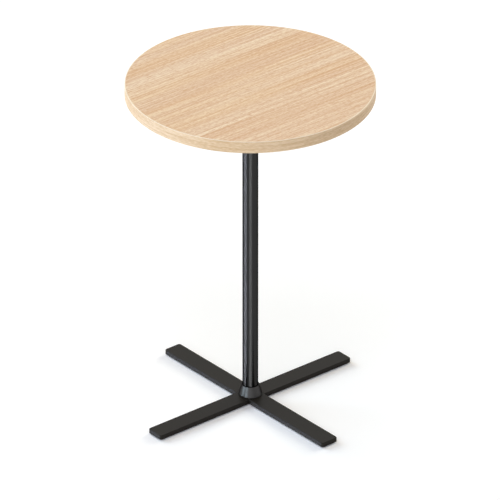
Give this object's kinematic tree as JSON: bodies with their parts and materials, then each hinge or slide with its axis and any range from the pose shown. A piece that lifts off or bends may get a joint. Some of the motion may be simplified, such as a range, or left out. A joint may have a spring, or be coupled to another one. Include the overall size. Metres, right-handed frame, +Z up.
{
  "type": "round side table",
  "caption": "Round wood-look side table on a slim steel column and a flat cross base with levelling glides.",
  "frame": {"origin": "centre of the table's footprint, on the floor, under the column's axis", "axes": "+Z up along the column, +X along the long base bar, +Y along the cross bar"},
  "size_m": [0.5, 0.5, 0.72],
  "materials": {
    "chipboard": "raw pressed board",
    "oak_laminate": "matt light oak decor laminate",
    "backing_laminate": "matt backing laminate",
    "edge_band": "matt wood-look edge strip",
    "brass_inserts": "turned",
    "black_powder_coat": "matt black powder coat",
    "collar_coat": "satin black coat",
    "zinc_fasteners": "bright zinc plate",
    "plain_steel": "turned, bare",
    "nylon_pads": "moulded"
  },
  "bodies": {
    "table": {"top_core": "chipboard", "top_laminate": "oak_laminate", "backing_laminate": "backing_laminate", "edge_band": "edge_band", "threaded_inserts": "brass_inserts", "mounting_plate": "black_powder_coat", "plate_screws": "zinc_fasteners", "plate_washers": "zinc_fasteners", "upper_bolt": "zinc_fasteners", "upper_plug": "plain_steel", "column_tube": "black_powder_coat", "lower_plug": "plain_steel", "collar": "collar_coat", "lower_bolt": "zinc_fasteners", "long_bar": "black_powder_coat", "cross_bar": "black_powder_coat"},
    "pad_1": {"glide_pad_1": "nylon_pads"},
    "pad_2": {"glide_pad_2": "nylon_pads"},
    "pad_3": {"glide_pad_3": "nylon_pads"},
    "pad_4": {"glide_pad_4": "nylon_pads"},
    "stud_1": {"glide_stud_1": "zinc_fasteners"},
    "stud_2": {"glide_stud_2": "zinc_fasteners"},
    "stud_3": {"glide_stud_3": "zinc_fasteners"},
    "stud_4": {"glide_stud_4": "zinc_fasteners"}
  },
  "joints": [
    {"name": "glide_1_travel", "type": "slide", "parent": "table", "child": "pad_1", "axis": [0, 0, -1], "range_m": [0, 0.003]},
    {"name": "glide_2_travel", "type": "slide", "parent": "table", "child": "pad_2", "axis": [0, 0, -1], "range_m": [0, 0.003]},
    {"name": "glide_3_travel", "type": "slide", "parent": "table", "child": "pad_3", "axis": [0, 0, -1], "range_m": [0, 0.003]},
    {"name": "glide_4_travel", "type": "slide", "parent": "table", "child": "pad_4", "axis": [0, 0, -1], "range_m": [0, 0.003]},
    {"name": "glide_1_turn", "type": "hinge", "parent": "pad_1", "child": "stud_1", "pos_m": [0.226, 0, 0.002], "axis": [0, 0, -1], "range_deg": [0, 1080]},
    {"name": "glide_2_turn", "type": "hinge", "parent": "pad_2", "child": "stud_2", "pos_m": [0, 0.226, 0.002], "axis": [0, 0, -1], "range_deg": [0, 1080]},
    {"name": "glide_3_turn", "type": "hinge", "parent": "pad_3", "child": "stud_3", "pos_m": [-0.226, 0, 0.002], "axis": [0, 0, -1], "range_deg": [0, 1080]},
    {"name": "glide_4_turn", "type": "hinge", "parent": "pad_4", "child": "stud_4", "pos_m": [0, -0.226, 0.002], "axis": [0, 0, -1], "range_deg": [0, 1080]}
  ],
  "couplings": [
    {"joint": "glide_1_turn", "follows": "glide_1_travel", "rad_per_m": 6283.2},
    {"joint": "glide_2_turn", "follows": "glide_2_travel", "rad_per_m": 6283.2},
    {"joint": "glide_3_turn", "follows": "glide_3_travel", "rad_per_m": 6283.2},
    {"joint": "glide_4_turn", "follows": "glide_4_travel", "rad_per_m": 6283.2}
  ]
}
